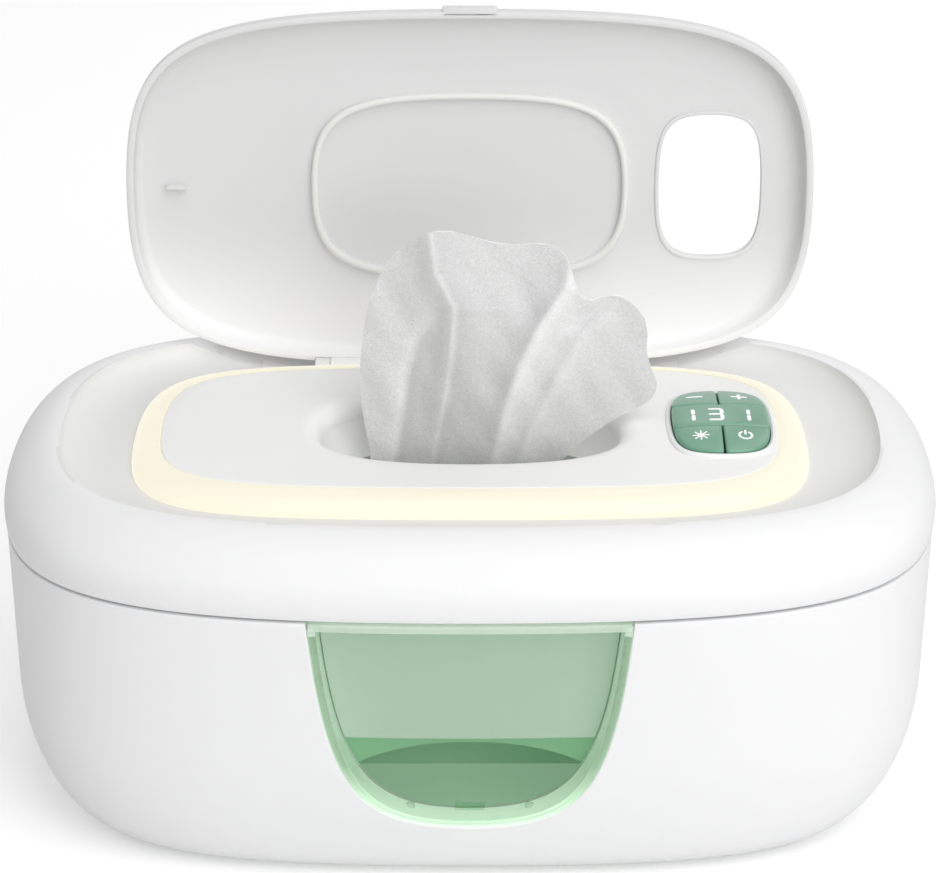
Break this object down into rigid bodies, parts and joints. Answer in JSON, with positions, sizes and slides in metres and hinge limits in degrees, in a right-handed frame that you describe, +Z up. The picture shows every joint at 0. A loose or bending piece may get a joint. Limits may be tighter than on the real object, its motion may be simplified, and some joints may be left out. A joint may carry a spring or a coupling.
{
  "type": "baby wipe warmer",
  "caption": "Oval countertop warmer for wet wipes with a hinged lid, a dispensing slot, a ring light, touch keys and a U-shaped sight window.",
  "frame": {"origin": "middle of the footprint, at the underside of the rubber feet", "axes": "+X along the length, towards the control keys; +Y from the front window to the back; +Z up. The lid stands open at rest."},
  "size_m": [0.2468, 0.1576, 0.1941],
  "materials": {
    "white_shell": "fine matte",
    "grey_shell": "fine matte",
    "clear_green": "gloss, see-through",
    "tub_plastic": "satin",
    "card": "satin",
    "rubber_grey": "matte",
    "silicone": "matte",
    "steel": "plain",
    "heat_aluminium": "plain",
    "film": "satin",
    "foam": "felt",
    "sensor": "matte",
    "circuit_board": "satin",
    "component_black": "matte",
    "contact_brass": "plain",
    "wire_grey": "matte",
    "glowing_ring": "translucent, lit warm yellow",
    "strip": "satin",
    "led": "gloss",
    "sage_key": "satin",
    "wipe_fabric": "soft non-woven"
  },
  "bodies": {
    "base": {"base_shell": "white_shell", "bottom_plate": "grey_shell", "rubber_feet": "rubber_grey", "plate_screws": "steel", "front_window": "clear_green", "window_seal": "silicone", "inner_tub": "tub_plastic", "label_panel": "card", "heat_plate": "heat_aluminium", "heat_film": "film", "insulation_pad": "foam", "thermal_fuse": "sensor", "thermistor": "sensor", "power_board": "circuit_board", "power_components": "component_black", "dc_jack": "component_black", "base_contacts": "contact_brass", "base_wires": "wire_grey", "cover_hinge_pins": "steel", "wipe_stack": "wipe_fabric"},
    "cover": {"upper_cover": "white_shell", "cover_liner": "tub_plastic", "cover_gasket": "silicone", "liner_screws": "steel", "light_ring": "glowing_ring", "light_strip": "strip", "strip_leds": "led", "deck": "grey_shell", "slot_flap": "tub_plastic", "bezel": "white_shell", "display_lens": "sage_key", "display_module": "component_black", "key_mat": "rubber_grey", "control_board": "circuit_board", "board_screws": "steel", "cover_wires": "wire_grey", "cover_contacts": "contact_brass", "lid_hinge_pins": "steel", "wipe_sheet": "wipe_fabric"},
    "lid": {"lid": "white_shell", "lid_seal": "silicone"},
    "minus_key": {"minus_key": "sage_key"},
    "plus_key": {"plus_key": "sage_key"},
    "light_key": {"light_key": "sage_key"},
    "power_key": {"power_key": "sage_key"}
  },
  "joints": [
    {"name": "cover_hinge", "type": "hinge", "parent": "base", "child": "cover", "pos_m": [0, 0.0769, 0.0808], "axis": [-1, 0, 0], "range_deg": [0, 75]},
    {"name": "lid_hinge", "type": "hinge", "parent": "cover", "child": "lid", "pos_m": [0, 0.04985, 0.0938], "axis": [1, 0, 0], "range_deg": [0, 97.3], "deforming": ["wipe_sheet"]},
    {"name": "minus_key_press", "type": "slide", "parent": "cover", "child": "minus_key", "axis": [0, 0, -1], "range_m": [0, 0.0007], "stiffness_N_per_m": 600},
    {"name": "plus_key_press", "type": "slide", "parent": "cover", "child": "plus_key", "axis": [0, 0, -1], "range_m": [0, 0.0007], "stiffness_N_per_m": 600},
    {"name": "light_key_press", "type": "slide", "parent": "cover", "child": "light_key", "axis": [0, 0, -1], "range_m": [0, 0.0007], "stiffness_N_per_m": 600},
    {"name": "power_key_press", "type": "slide", "parent": "cover", "child": "power_key", "axis": [0, 0, -1], "range_m": [0, 0.0007], "stiffness_N_per_m": 600}
  ]
}
